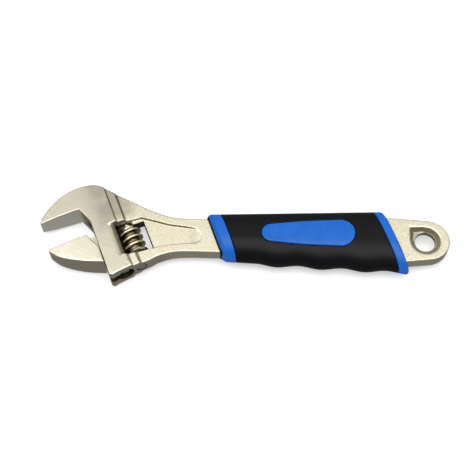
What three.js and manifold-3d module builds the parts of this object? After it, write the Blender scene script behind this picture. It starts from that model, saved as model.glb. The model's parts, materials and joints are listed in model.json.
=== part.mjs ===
// Adjustable wrench, 250 mm class, lying flat: +X runs from the jaws to the hanging hole,
// +Z is up through its thickness. Millimetres.
// The forged body carries a sliding jaw whose round, toothed key is driven by a worm.
// The worm turns on a pin with a small take-up spring, and a two-colour grip sits on the tang.

import * as THREE from 'three';
import { mergeVertices } from 'three/addons/utils/BufferGeometryUtils.js';
import Module from 'manifold-3d';

const wasm = await Module();
wasm.setup();

// ---- driving dimensions -------------------------------------------------------------------

const HEAD_ANGLE = THREE.MathUtils.degToRad(22.5); // slide direction against the handle

const HEAD_HALF = 8.25; // half thicknesses of the forging, head to tail
const STRIP_HALF = 6.6;
const SHANK_HALF = 5.3;
const NECK_HALF = 4.6;
const TAIL_HALF = 4.1;
const PANEL_HALF = 3.4;

const JAW_TIP_U = 109; // distances across the slide, measured from the handle towards the tips
const THROAT_U = 84.2;
const CHANNEL_U = 80;
const KEY_U = 70;
const HEAD_STEP_U = 65.5;
const STRIP_STEP_U = 60.3;
const STEP_RUN = 0.5;
const NECK_U = 28;
const TAIL_U = -130;
const WORM_U = 60;
const FIXED_FACE_W = -50.1; // distances along the slide, growing as the jaws open
const JAW_FACE_W = -31.7;
const TAPER_START_U = 82;
const TAPER_RATE = 0.0038;

const THROUGH = 20; // half height of a cut that goes right through
const HEAD_REACH = 90; // beyond the head and the tail on either side of the slide's middle

const RUNNING_GAP = 0.3;
const KEY_RADIUS = 4.5;
const KEY_FLAT_U = 65.5;
const KEY_END_W = -5;
const WEB_HALF = 2.1;
const WEB_END = { u: 84, w: -13 };

const WINDOW = { left: 67, right: 49.7, top: -30.6, bottom: -11.4 };
const SPRING_ROOM = { left: 66.8, middle: 60.8, right: 56.6, top: -33.2, edge: -32.5 };
const RELIEF = { rim: 71, foot: 66.9, inner: 59.9, top: -34.6, bottom: -11.8, half: 6.4 };
const WORM = { top: -29.9, bottom: -12.1, root: 4.7, crest: 7.2, pitch: 4.7, chamfer: 1.2 };
const RIDGE = { mesh: -29.7, rootWidth: 2.4, crestWidth: 1.4 }; // mesh: first ridge at the rack
const RACK = { rootU: 67.55, tipWidth: 1.5, rootWidth: 2.5, grooves: 6 };
const PIN = { stem: 2, plug: 2.8, plugEnd: -10.9, top: -37.5, face: -3.1 };
const SPRING = { mean: 2.78, wire: 0.25, turns: 6, top: -32.2, bottom: -25.1 };
const COUNTERBORE = { radius: 3.4, depth: 5.4 };

const TAIL = { x: 114.9, y: 0.3, radius: 13.3 };
const HANG_HOLE = { x: 113.7, y: 0.1, radius: 6.2 };
const DISH = { x: 113.6, y: 0, radius: 9.2, half: 1.4 };

const GRIP_HALF = 9.75;
const GRIP_CROWN = 0.45; // height taken off each broad face, which leaves a narrow level strip
const GRIP_POWER = 2.25;
const CORE_DROP = 0.3; // how far the soft cover stands proud of the hard core
const GRIP_REACH = { from: -26, to: 106 };
const COLLAR_SLOPE = 0.37;
const COLLARS = { front: -13.6, frontSeam: -5.7, rearSeam: 89.6, rear: 95.4 };
const SCALLOP = { pitch: 26.3, first: 24, depth: 1.7 };
const SLEEVE_WALL = 1.6;
const TANG = { neck: 11.3, waist: 10.2, back: 15.3, finger: 14.7, shoulder: 5 };
const TANG_BACK = { narrow: -8, widen: 84.5 };
const TANG_FINGER = { narrow: -1, widen: 96 };
const PAD = { x0: 20.4, y0: 0.45, r0: 5.85, x1: 61.7, y1: 1.5, r1: 8.95, bulge: 0.6 };

// ---- frames -------------------------------------------------------------------------------

const COS = Math.cos(HEAD_ANGLE);
const SIN = Math.sin(HEAD_ANGLE);
const ACROSS = new THREE.Vector3(-COS, -SIN, 0); // u, towards the jaw tips
const ALONG = new THREE.Vector3(SIN, -COS, 0); // w, the opening direction
const UP = new THREE.Vector3(0, 0, 1);

// Local x, y, z become u, w, z.
const SLIDE = new THREE.Matrix4().makeBasis(ACROSS, ALONG, UP);
// Local x, y, z become u, z, -w: for sections drawn across the slide and swept along it.
const SWEEP = new THREE.Matrix4().makeBasis(ACROSS, UP, ALONG.clone().negate());

// A point of the head, given across and along the slide, in the wrench's own XY plane.
function slide(u, w) {
  return new THREE.Vector2(u * ACROSS.x + w * ALONG.x, u * ACROSS.y + w * ALONG.y);
}

// ---- solids -------------------------------------------------------------------------------

function toSolid(geometry, matrix) {
  const bare = geometry.index ? geometry.toNonIndexed() : geometry.clone();
  bare.deleteAttribute('normal');
  bare.deleteAttribute('uv');
  if (matrix) bare.applyMatrix4(matrix);
  const merged = mergeVertices(bare, 1e-4);
  const mesh = new wasm.Mesh({
    numProp: 3,
    vertProperties: new Float32Array(merged.attributes.position.array),
    triVerts: new Uint32Array(merged.index.array),
  });
  return new wasm.Manifold(mesh);
}

function toGeometry(solid) {
  const mesh = solid.getMesh();
  const geometry = new THREE.BufferGeometry();
  geometry.setAttribute('position', new THREE.BufferAttribute(mesh.vertProperties, 3));
  geometry.setIndex(new THREE.BufferAttribute(mesh.triVerts, 1));
  geometry.computeVertexNormals();
  return geometry;
}

// A flat outline swept from z0 to z1.
function prism(points, z0, z1, matrix) {
  const geometry = new THREE.ExtrudeGeometry(new THREE.Shape(points), {
    depth: z1 - z0,
    bevelEnabled: false,
  });
  geometry.translate(0, 0, z0);
  return toSolid(geometry, matrix);
}

// A block in slide coordinates.
function slideBlock(u0, u1, w0, w1, half) {
  const corners = [[u0, w0], [u1, w0], [u1, w1], [u0, w1]];
  return prism(corners.map(([u, w]) => new THREE.Vector2(u, w)), -half, half, SLIDE);
}

// A round bar along the slide.
function slideRod(u, w0, w1, radius, sides = 32) {
  const geometry = new THREE.CylinderGeometry(radius, radius, w1 - w0, sides);
  geometry.translate(u, (w0 + w1) / 2, 0);
  return toSolid(geometry, SLIDE);
}

function union(first, ...others) {
  return others.reduce((sum, next) => sum.add(next), first);
}

function arcPoints(x, y, radius, start, end, steps) {
  const curve = new THREE.EllipseCurve(x, y, radius, radius, start, end, end < start);
  return curve.getPoints(steps);
}

function smooth(points, steps) {
  return new THREE.SplineCurve(points).getPoints(steps);
}

// ---- forged body --------------------------------------------------------------------------

// One edge of the tang, from the neck through its waist to the shoulder of the tail.
function tangEdge(bend, tailHalf, clearance) {
  return [
    [bend.narrow, TANG.neck], [bend.narrow + TANG.shoulder, TANG.waist],
    [bend.widen, TANG.waist], [bend.widen + TANG.shoulder, tailHalf],
  ].map(([x, half]) => new THREE.Vector2(x, half + clearance));
}

function tangEdges(clearance) {
  const back = tangEdge(TANG_BACK, TANG.back, clearance).reverse();
  const finger = tangEdge(TANG_FINGER, TANG.finger, clearance);
  return { back, finger: finger.map((p) => new THREE.Vector2(p.x, -p.y)) };
}

// Lower edge of the handle from the head to the tail, then the round end and the back edge.
function handleEdge(step) {
  const lower = smooth([
    slide(62, -2.8), slide(55, -3.3), new THREE.Vector2(-46.5, -14.7),
    new THREE.Vector2(-38, -12), new THREE.Vector2(-28, -11.3), new THREE.Vector2(-18, -11.3),
  ], step);
  const tang = tangEdges(0);
  const tail = [
    ...tang.finger,
    ...arcPoints(TAIL.x, TAIL.y, TAIL.radius, -1.5, 1.45, 24),
    ...tang.back,
  ];
  const back = smooth([
    new THREE.Vector2(-20, 11.2), new THREE.Vector2(-31, 11.3), new THREE.Vector2(-41.6, 12.4),
    new THREE.Vector2(-54.1, 16.7), new THREE.Vector2(-63.5, 21.3),
    new THREE.Vector2(-76.5, 27.3), slide(65.2, -60),
  ], step);
  return [...lower, ...tail, ...back];
}

// Fixed jaw, throat and the channel edge on which the sliding jaw rests.
function jawEdge() {
  const crown = smooth([
    slide(HEAD_STEP_U, -60.3), slide(69.5, -63), slide(74, -64.5), slide(79.5, -64.9),
    slide(86, -64.2), slide(93, -62.2), slide(100.3, -58.4), slide(105.5, -54.6),
    slide(108.6, -51.3),
  ], 24);
  return [
    ...crown,
    slide(JAW_TIP_U, FIXED_FACE_W - 0.4),
    slide(JAW_TIP_U - 0.4, FIXED_FACE_W),
    slide(THROAT_U, FIXED_FACE_W),
    slide(CHANNEL_U, -39.9),
    slide(CHANNEL_U, -1.8),
    slide(CHANNEL_U - 1.4, -0.5),
    slide(75, -1.3),
    slide(68, -2.2),
  ];
}

// Half thickness of both jaws: level at the head, easing down to the tips.
function cheekHalf(u) {
  return HEAD_HALF - TAPER_RATE * Math.max(0, u - TAPER_START_U) ** 2;
}

// The space between the forging's two broad faces, from the jaw tips to the tail.
function thicknessSpace(clearance) {
  const upper = [];
  for (let u = JAW_TIP_U + 3; u > TAPER_START_U; u -= 3) {
    upper.push([u, cheekHalf(u)]);
  }
  upper.push(
    [HEAD_STEP_U, HEAD_HALF], [HEAD_STEP_U - STEP_RUN, STRIP_HALF],
    [STRIP_STEP_U, STRIP_HALF], [STRIP_STEP_U - STEP_RUN, SHANK_HALF],
    [NECK_U, NECK_HALF], [TAIL_U, TAIL_HALF],
  );
  const top = upper.map(([u, z]) => new THREE.Vector2(u, z + clearance));
  const bottom = top.map((p) => new THREE.Vector2(p.x, -p.y)).reverse();
  return prism([...top, ...bottom], -HEAD_REACH, HEAD_REACH, SWEEP);
}

// Sunk panel around the window and along the shank, open on one face.
function panelCut(side) {
  const outline = [
    slide(67, -33.6), slide(61, -33.6), slide(56.4, -32.8), slide(50.3, -32.6),
    ...smooth([
      new THREE.Vector2(-50, 8.8), new THREE.Vector2(-41, 6.6), new THREE.Vector2(-31, 5.4),
      new THREE.Vector2(-24.5, 3.6), new THREE.Vector2(-21.6, -0.6),
      new THREE.Vector2(-24, -4.7), new THREE.Vector2(-33, -5.8),
      new THREE.Vector2(-42, -7), new THREE.Vector2(-50.3, -9.3),
    ], 28),
    slide(60, -11.4), slide(67, -11.8),
  ];
  const z = [PANEL_HALF, HEAD_HALF + 1];
  const [z0, z1] = side > 0 ? z : [-z[1], -z[0]];
  return prism(outline, z0, z1);
}

// Sloping thumb relief beside the window, on both faces.
function thumbRelief(side) {
  const { rim, foot, inner, top, bottom, half } = RELIEF;
  const section = [
    [rim, HEAD_HALF], [foot, half], [inner, half], [inner, HEAD_HALF + 1], [rim, HEAD_HALF + 1],
  ].map(([u, z]) => new THREE.Vector2(u, z * side));
  if (side < 0) section.reverse();
  return prism(section, -bottom, -top, SWEEP);
}

// Where the window reaches further, above the spring.
function springRoom() {
  const { left, middle, right, top, edge } = SPRING_ROOM;
  const corners = [
    [left, top], [middle, top], [right, edge], [right, WINDOW.bottom], [left, WINDOW.bottom],
  ].map(([u, w]) => new THREE.Vector2(u, w));
  return prism(corners, -THROUGH, THROUGH, SLIDE);
}

// Dished seat around the hanging hole, drawn out to one corner.
function dishCut(side) {
  const rim = arcPoints(DISH.x, DISH.y, DISH.radius, -Math.PI, Math.PI / 2, 36);
  const corner = new THREE.Vector2(DISH.x - DISH.radius, DISH.y + DISH.radius);
  const z = [DISH.half, HEAD_HALF];
  const [z0, z1] = side > 0 ? z : [-z[1], -z[0]];
  return prism([...rim, corner], z0, z1);
}

function buildBody() {
  const outline = [...handleEdge(24), ...jawEdge()];
  const blank = prism(outline, -10, 10).intersect(thicknessSpace(0));
  const { left, right, top, bottom } = WINDOW;
  const hangHole = new THREE.CylinderGeometry(HANG_HOLE.radius, HANG_HOLE.radius, 30, 40);
  hangHole.rotateX(Math.PI / 2);
  hangHole.translate(HANG_HOLE.x, HANG_HOLE.y, 0);
  const cuts = [
    slideBlock(right, left, top, bottom, THROUGH),
    springRoom(),
    panelCut(1),
    panelCut(-1),
    thumbRelief(1),
    thumbRelief(-1),
    slideRod(KEY_U, -50.6, 10, KEY_RADIUS + RUNNING_GAP, 40),
    slideBlock(KEY_U, 90, FIXED_FACE_W, 10, WEB_HALF + RUNNING_GAP),
    slideRod(WORM_U, bottom - 0.5, 5, PIN.plug + RUNNING_GAP),
    slideRod(WORM_U, PIN.top - 0.5, top, PIN.stem + RUNNING_GAP),
    dishCut(1),
    dishCut(-1),
    toSolid(hangHole),
  ];
  return cuts.reduce((solid, cut) => solid.subtract(cut), blank);
}

// ---- sliding jaw --------------------------------------------------------------------------

// Straight grooves across the key, leaned to match the worm's helix.
function rackGrooves() {
  const lean = WORM.pitch / (2 * Math.PI * (WORM.crest - 0.9));
  const halfTip = (WORM.pitch - RACK.tipWidth) / 2;
  const halfRoot = (WORM.pitch - RACK.rootWidth) / 2;
  const section = [
    new THREE.Vector2(KEY_FLAT_U - 1, -halfTip - 0.2),
    new THREE.Vector2(RACK.rootU, -halfRoot),
    new THREE.Vector2(RACK.rootU, halfRoot),
    new THREE.Vector2(KEY_FLAT_U - 1, halfTip + 0.2),
  ];
  const grooves = [];
  for (let i = 0; i < RACK.grooves; i += 1) {
    const w = RIDGE.mesh + i * WORM.pitch;
    const tilt = new THREE.Matrix4().makeShear(0, 0, 0, 0, 0, -lean);
    const place = new THREE.Matrix4().makeTranslation(0, w, 0);
    const matrix = SLIDE.clone().multiply(place).multiply(tilt);
    grooves.push(prism(section, -8, 8, matrix));
  }
  return grooves;
}

function buildJaw() {
  const shoulder = CHANNEL_U + RUNNING_GAP;
  const outline = [
    slide(JAW_TIP_U - 0.2, JAW_FACE_W),
    slide(JAW_TIP_U + 0.2, JAW_FACE_W + 0.5),
    ...smooth([
      slide(JAW_TIP_U + 0.2, -30.3), slide(105.7, -24.9), slide(100.7, -20.7),
      slide(95.5, -17.4), slide(90.1, -14.5), slide(84.6, -12.1),
    ], 16),
    slide(shoulder, -10.4),
    slide(shoulder, -22.2),
    slide(85.2, JAW_FACE_W),
  ];
  const head = prism(outline.reverse(), -10, 10).intersect(thicknessSpace(0));
  const web = slideBlock(KEY_U, WEB_END.u, JAW_FACE_W, WEB_END.w, WEB_HALF);
  const flat = slideBlock(KEY_FLAT_U, KEY_U + 8, -60, 10, 10);
  const key = slideRod(KEY_U, JAW_FACE_W, KEY_END_W, KEY_RADIUS, 40).intersect(flat);
  const blank = union(head, web, key);
  return rackGrooves().reduce((solid, groove) => solid.subtract(groove), blank);
}

// ---- worm, pin and spring -----------------------------------------------------------------

// An endless screw along the worm's axis: one helical band of root, flank, crest and flank,
// whose last edge meets the first edge of the next turn.
function screw() {
  const stepsPerTurn = 28;
  const halfRoot = (WORM.pitch - RIDGE.rootWidth) / 2;
  const halfCrest = RIDGE.crestWidth / 2;
  const profile = [
    [WORM.root, -halfRoot], [WORM.root, halfRoot],
    [WORM.crest, WORM.pitch / 2 - halfCrest], [WORM.crest, WORM.pitch / 2 + halfCrest],
  ];
  const band = profile.length;
  const start = RIDGE.mesh - 1.5 * WORM.pitch;
  const turns = Math.ceil((WORM.bottom - RIDGE.mesh) / WORM.pitch) + 3;
  const steps = turns * stepsPerTurn;
  const positions = [];
  for (let i = 0; i <= steps; i += 1) {
    const angle = (i / stepsPerTurn) * 2 * Math.PI;
    for (const [radius, offset] of profile) {
      const w = start + (i / stepsPerTurn) * WORM.pitch + offset;
      positions.push(WORM_U + radius * Math.cos(angle), w, -radius * Math.sin(angle));
    }
  }
  const at = (i, j) => (j < band ? i * band + j : (i + stepsPerTurn) * band);
  const index = [];
  for (let i = 0; i < steps; i += 1) {
    const wraps = i + 1 + stepsPerTurn <= steps;
    for (let j = 0; j < (wraps ? band : band - 1); j += 1) {
      index.push(at(i, j), at(i + 1, j), at(i + 1, j + 1));
      index.push(at(i, j), at(i + 1, j + 1), at(i, j + 1));
    }
  }
  const firstRim = [];
  const lastRim = [];
  for (let i = 0; i <= stepsPerTurn; i += 1) {
    firstRim.push(at(i, 0));
    lastRim.push(at(steps - stepsPerTurn + i, band - 1));
  }
  for (let j = band - 1; j > 0; j -= 1) firstRim.push(at(0, j));
  for (let j = band - 2; j >= 0; j -= 1) lastRim.push(at(steps, j));
  const axisFirst = positions.length / 3;
  positions.push(WORM_U, start - 1, 0, WORM_U, start + (turns + 1) * WORM.pitch, 0);
  for (let k = 0; k < firstRim.length; k += 1) {
    index.push(axisFirst, firstRim[(k + 1) % firstRim.length], firstRim[k]);
    index.push(axisFirst + 1, lastRim[k], lastRim[(k + 1) % lastRim.length]);
  }
  const geometry = new THREE.BufferGeometry();
  geometry.setAttribute('position', new THREE.Float32BufferAttribute(positions, 3));
  geometry.setIndex(index);
  return toSolid(geometry, SLIDE);
}

function buildWorm() {
  const { top, bottom, crest, chamfer } = WORM;
  const rim = crest + 0.2;
  const profile = [
    [0, top], [rim - chamfer, top], [rim, top + chamfer],
    [rim, bottom - chamfer], [rim - chamfer, bottom], [0, bottom],
  ].map(([radius, w]) => new THREE.Vector2(radius, w));
  const envelope = new THREE.LatheGeometry(profile, 28);
  envelope.translate(WORM_U, 0, 0);
  const bore = slideRod(WORM_U, top - 1, bottom + 1, PIN.stem + RUNNING_GAP, 24);
  const seatEnd = top + COUNTERBORE.depth;
  const seat = slideRod(WORM_U, top - 1, seatEnd, COUNTERBORE.radius, 24);
  return screw().intersect(toSolid(envelope, SLIDE)).subtract(bore.add(seat));
}

function buildPin() {
  const stem = slideRod(WORM_U, PIN.top, PIN.plugEnd, PIN.stem, 24);
  return stem.add(slideRod(WORM_U, PIN.plugEnd - 0.01, PIN.face, PIN.plug, 24));
}

function buildSpring() {
  const { mean, wire, turns, top, bottom } = SPRING;
  const points = [];
  const steps = turns * 14;
  const rise = bottom - top - 2 * wire;
  for (let i = 0; i <= steps; i += 1) {
    const part = i / steps;
    const angle = part * turns * 2 * Math.PI;
    const lift = THREE.MathUtils.smoothstep(part, 0.08, 0.92) * 0.5 + part * 0.5;
    points.push(new THREE.Vector3(
      WORM_U + mean * Math.cos(angle), top + wire + rise * lift, -mean * Math.sin(angle),
    ));
  }
  const circle = new THREE.Shape(arcPoints(0, 0, wire, 0, 2 * Math.PI, 6).slice(0, -1));
  const geometry = new THREE.ExtrudeGeometry(circle, {
    steps,
    bevelEnabled: false,
    extrudePath: new THREE.CatmullRomCurve3(points),
  });
  return toSolid(geometry, SLIDE);
}

// ---- grip ---------------------------------------------------------------------------------

function gripBackEdge(x) {
  return 16.1 + 0.0435 * (x + 5);
}

// The finger edge: three shallow swells on a gently widening line.
function gripFingerEdge(x) {
  const start = SCALLOP.first - SCALLOP.pitch / 2;
  const phase = Math.max(0, x - start) / SCALLOP.pitch;
  const swell = SCALLOP.depth * 0.5 * (1 - Math.cos(2 * Math.PI * phase));
  return -(15 + 0.039 * (x - 4) + swell);
}

// A cosine or sine bent from a circle to the grip's squarer oval.
function rounded(value) {
  return Math.sign(value) * Math.abs(value) ** (2 / GRIP_POWER);
}

// The full outer form of the grip, longer than needed at both ends and cut level above
// and below.
function gripForm(level) {
  const sides = 36;
  const stations = 44;
  const positions = [];
  const index = [];
  for (let i = 0; i <= stations; i += 1) {
    const x = THREE.MathUtils.lerp(GRIP_REACH.from, GRIP_REACH.to, i / stations);
    const centre = (gripBackEdge(x) + gripFingerEdge(x)) / 2;
    const half = (gripBackEdge(x) - gripFingerEdge(x)) / 2;
    for (let j = 0; j < sides; j += 1) {
      const angle = (2 * Math.PI * (j + 0.5)) / sides;
      const y = centre + half * rounded(Math.cos(angle));
      const z = (GRIP_HALF + GRIP_CROWN) * rounded(Math.sin(angle));
      positions.push(x, y, THREE.MathUtils.clamp(z, -level, level));
    }
  }
  for (let i = 0; i < stations; i += 1) {
    for (let j = 0; j < sides; j += 1) {
      const a = i * sides + j;
      const b = i * sides + ((j + 1) % sides);
      index.push(a, b, b + sides, a, b + sides, a + sides);
    }
  }
  const last = stations * sides;
  for (let j = 1; j < sides - 1; j += 1) {
    index.push(0, j + 1, j, last, last + j, last + j + 1);
  }
  const geometry = new THREE.BufferGeometry();
  geometry.setAttribute('position', new THREE.Float32BufferAttribute(positions, 3));
  geometry.setIndex(index);
  return toSolid(geometry);
}

// A slab between two upright planes that lean back across the handle.
function leaningSlab(from, to) {
  const reach = 40;
  const lean = COLLAR_SLOPE * reach;
  return prism([
    new THREE.Vector2(from + lean, -reach), new THREE.Vector2(to + lean, -reach),
    new THREE.Vector2(to - lean, reach), new THREE.Vector2(from - lean, reach),
  ], -THROUGH, THROUGH);
}

// A bar that follows the tang and the start of the tail with the given clearance.
function tangBar(clearance) {
  const { back, finger } = tangEdges(clearance);
  const reach = 140;
  const outline = [
    new THREE.Vector2(-reach / 4, finger[0].y), ...finger,
    new THREE.Vector2(reach, finger[3].y), new THREE.Vector2(reach, back[0].y), ...back,
    new THREE.Vector2(-reach / 4, back[3].y),
  ];
  return prism(outline, -10, 10).intersect(thicknessSpace(clearance));
}

// Tapered oval column for the grip's side pads.
function padColumn(growth) {
  const { x0, y0, r0, x1, y1, r1, bulge } = PAD;
  const halfway = (r0 + r1) / 2 + bulge + growth;
  return prism([
    ...arcPoints(x0, y0, r0 + growth, Math.PI / 2, 1.5 * Math.PI, 16),
    new THREE.Vector2((x0 + x1) / 2, (y0 + y1) / 2 - halfway),
    ...arcPoints(x1, y1, r1 + growth, -Math.PI / 2, Math.PI / 2, 20),
    new THREE.Vector2((x0 + x1) / 2, (y0 + y1) / 2 + halfway),
  ], -THROUGH, THROUGH);
}

function buildGripCore(form) {
  const { front, frontSeam, rearSeam, rear } = COLLARS;
  const collars = union(leaningSlab(front, frontSeam), leaningSlab(rearSeam, rear));
  const sleeve = tangBar(SLEEVE_WALL).intersect(leaningSlab(front, rear));
  const pads = padColumn(0);
  const solid = union(form.intersect(collars), sleeve.intersect(form), form.intersect(pads));
  return solid.subtract(tangBar(RUNNING_GAP));
}

function buildOvermould(form) {
  const { frontSeam, rearSeam } = COLLARS;
  const span = leaningSlab(frontSeam + RUNNING_GAP, rearSeam - RUNNING_GAP);
  const sleeve = tangBar(SLEEVE_WALL + RUNNING_GAP);
  return form.intersect(span).subtract(sleeve).subtract(padColumn(RUNNING_GAP));
}

// ---- assembly -----------------------------------------------------------------------------

function piece(name, solid, color, roughness, metalness) {
  const material = new THREE.MeshStandardMaterial({ color, roughness, metalness });
  const mesh = new THREE.Mesh(toGeometry(solid), material);
  mesh.name = name;
  return mesh;
}

const wrench = new THREE.Group();
wrench.add(
  piece('body', buildBody(), 0xd9d2bd, 0.38, 0.9),
  piece('movable_jaw', buildJaw(), 0xddd6c2, 0.35, 0.9),
  piece('worm', buildWorm(), 0xcfc7ae, 0.22, 1),
  piece('worm_pin', buildPin(), 0x9a9c98, 0.4, 0.9),
  piece('worm_spring', buildSpring(), 0xa9abad, 0.3, 1),
  piece('grip_core', buildGripCore(gripForm(GRIP_HALF - CORE_DROP)), 0x2066d8, 0.45, 0),
  piece('grip_overmould', buildOvermould(gripForm(GRIP_HALF)), 0x1b1b1f, 0.7, 0),
);

// The origin is the middle of the underside of the wrench's box.
const box = new THREE.Box3().setFromObject(wrench);
wrench.position.set(-(box.min.x + box.max.x) / 2, -(box.min.y + box.max.y) / 2, -box.min.z);

export default wrench;
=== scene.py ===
"""Adjustable wrench: the visual model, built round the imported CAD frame.

Everything is drawn in the wrench's own millimetres: X along the handle, Z through its
thickness, u across the slide towards the jaw tips and w along the slide as the jaws open.
Forged and moulded pieces are distance fields on a grid, turned into meshes by OpenVDB.
"""
import json
import math

import bpy
import numpy as np
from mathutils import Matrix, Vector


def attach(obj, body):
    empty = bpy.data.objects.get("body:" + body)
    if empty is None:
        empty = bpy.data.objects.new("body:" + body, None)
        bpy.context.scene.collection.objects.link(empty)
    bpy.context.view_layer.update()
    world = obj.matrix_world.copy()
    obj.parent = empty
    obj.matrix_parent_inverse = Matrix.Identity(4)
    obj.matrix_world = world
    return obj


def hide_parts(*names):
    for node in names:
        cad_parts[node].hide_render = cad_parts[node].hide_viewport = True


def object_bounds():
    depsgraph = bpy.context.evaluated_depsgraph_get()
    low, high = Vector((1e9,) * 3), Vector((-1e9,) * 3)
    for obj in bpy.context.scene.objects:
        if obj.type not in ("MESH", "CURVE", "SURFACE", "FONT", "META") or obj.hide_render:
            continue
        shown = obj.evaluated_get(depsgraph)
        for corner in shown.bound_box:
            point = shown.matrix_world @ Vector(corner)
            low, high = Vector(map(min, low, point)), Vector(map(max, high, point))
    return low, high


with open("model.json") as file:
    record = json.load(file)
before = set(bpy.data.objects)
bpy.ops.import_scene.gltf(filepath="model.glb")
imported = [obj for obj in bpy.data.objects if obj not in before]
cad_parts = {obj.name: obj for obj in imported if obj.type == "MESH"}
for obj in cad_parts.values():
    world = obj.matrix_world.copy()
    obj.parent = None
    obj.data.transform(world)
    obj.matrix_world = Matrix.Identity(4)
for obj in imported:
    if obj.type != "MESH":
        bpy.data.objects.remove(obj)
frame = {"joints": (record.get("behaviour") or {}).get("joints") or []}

import openvdb as vdb
from mathutils import Vector

CAD_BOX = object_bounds()

# ---- driving sizes, in millimetres ---------------------------------------------------------

HEAD_ANGLE = math.radians(22.5)  # the slide's direction against the handle
ACROSS = np.array([-math.cos(HEAD_ANGLE), -math.sin(HEAD_ANGLE)])
ALONG = np.array([math.sin(HEAD_ANGLE), -math.cos(HEAD_ANGLE)])

# Half thicknesses of the forging, and where along u they change.
HEAD_HALF, STRIP_HALF, SHANK_HALF, NECK_HALF, TAIL_HALF = 8.25, 6.6, 5.3, 4.6, 4.1
PANEL_HALF, RELIEF_HALF = 3.4, 6.35
TAPER_START_U, TAPER_RATE = 82, 0.0038
HEAD_STEP_U, STRIP_STEP_U = 65.5, 60.3
SHANK_RUN, NECK_U, NECK_RUN = 31.8, 28, 158

# Openings of the head, as ranges of u and w.
WINDOW = (49.7, 67), (-30.6, -11.4)
RELIEF = (55.5, 71.6), (-33.9, -11.9)
SPRING_ROOM = [(66.8, -33.4), (60.8, -33.4), (56.6, -32.5), (56.6, -20), (66.8, -20)]
KEY_U, WORM_U = 70.0, 60.0
BORE_RADIUS, BORE_END_W, SLOT_HALF = 4.8, -50.6, 2.4
PIN_HOLE_RADIUS, STEM_HOLE_RADIUS, STEM_HOLE_END_W = 3.1, 2.3, -38

# Jaw, key and rack.
FIXED_FACE_W, JAW_FACE_W = -50.1, -31.7
KEY_RADIUS, KEY_FLAT_U, KEY_END_W, WEB_HALF = 4.5, 65.5, -5, 2.1
RACK_ROOT_U, GROOVE_HALF, GROOVE_DRAFT = 67.55, 1.6, 0.22
RACK_MEAN_RADIUS = 6.3  # where the rack's lean is taken on the worm

# Worm, pin and spring.
WORM_TOP, WORM_BOTTOM, WORM_ROOT, WORM_CREST = -29.9, -12.1, 4.6, 7.2
PITCH, MESH_W = 4.7, -29.7  # the first ridge meets the rack at MESH_W
RIDGE_HALF, RIDGE_DRAFT = 0.6, 0.2
HUB_TOP, HUB_BOTTOM = -30.35, -28
WORM_BORE, COUNTERBORE, COUNTERBORE_DEPTH = 2.35, 3.4, 5.4
STEM_RADIUS, STEM_TOP, STEM_BOTTOM = 2.0, -37.5, -9
PLUG_RADIUS, PLUG_TOP, PLUG_FACE = 2.8, -10.9, -3.1
COIL_RADIUS, WIRE_RADIUS, COIL_TURNS, COIL_TOP, COIL_LENGTH = 2.78, 0.25, 6, -31.95, 6.6

# Tail.
TAIL_CENTRE, TAIL_RADIUS = (114.9, 0.3), 13.3
HOLE_CENTRE, HOLE_RADIUS = (113.7, 0.1), 6.2
DISH_X, DISH_CORNER_X, DISH_RADIUS, DISH_HALF, DISH_FLARE = 113.6, 104.4, 9.2, 1.4, 0.95

# Grip.
GRIP_HALF, GRIP_POWER, COLLAR_SLOPE = 9.75, 2.25, 0.37
CROWN_DROP = 0.15  # how far the oval's top is cut level
COLLAR_FRONT, SEAM_FRONT, SEAM_REAR, COLLAR_REAR = -14.0, -6.0, 90.0, 95.7
SCALLOP_PITCH, SCALLOP_START, SCALLOP_DEPTH = 26.3, 10.85, 0.85
SLEEVE_WALL, SEAM_GAP = 1.6, 0.3
PAD_SMALL, PAD_SMALL_RADIUS = (20.4, 0.45), 5.85
PAD_LARGE, PAD_LARGE_RADIUS = (61.7, 1.5), 8.95

# Grid steps, and how freely flat stretches of a mesh are merged.
BODY_STEP, JAW_STEP, WORM_STEP, GRIP_STEP, LINING_STEP = 0.32, 0.25, 0.16, 0.35, 0.3
ADAPTIVITY = 0.002

# Camera and stage, in metres and degrees.
CAMERA_ELEVATION, CAMERA_AZIMUTH, CAMERA_DISTANCE = 62.0, 1.42, 0.5646
SENSOR_WIDTH, LENS = 36.0, 70.26
FLOOR_REACH, WALL_RADIUS, WALL_SIDES = 20.0, 18.0, 64


def slide(u, w):
    """A point of the head from its distances across and along the slide."""
    return tuple(u * ACROSS + w * ALONG)


def joint(name):
    return next(row for row in frame["joints"] if row["name"] == name)


# The worm's pivot ties the wrench's own millimetres to the frame's metres.
PIVOT = slide(WORM_U, (WORM_TOP + WORM_BOTTOM) / 2)
SHIFT = np.array(joint("worm_spin")["pos_m"]) * 1000 - np.array([*PIVOT, 0.0])


# ---- distance fields -----------------------------------------------------------------------

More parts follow.
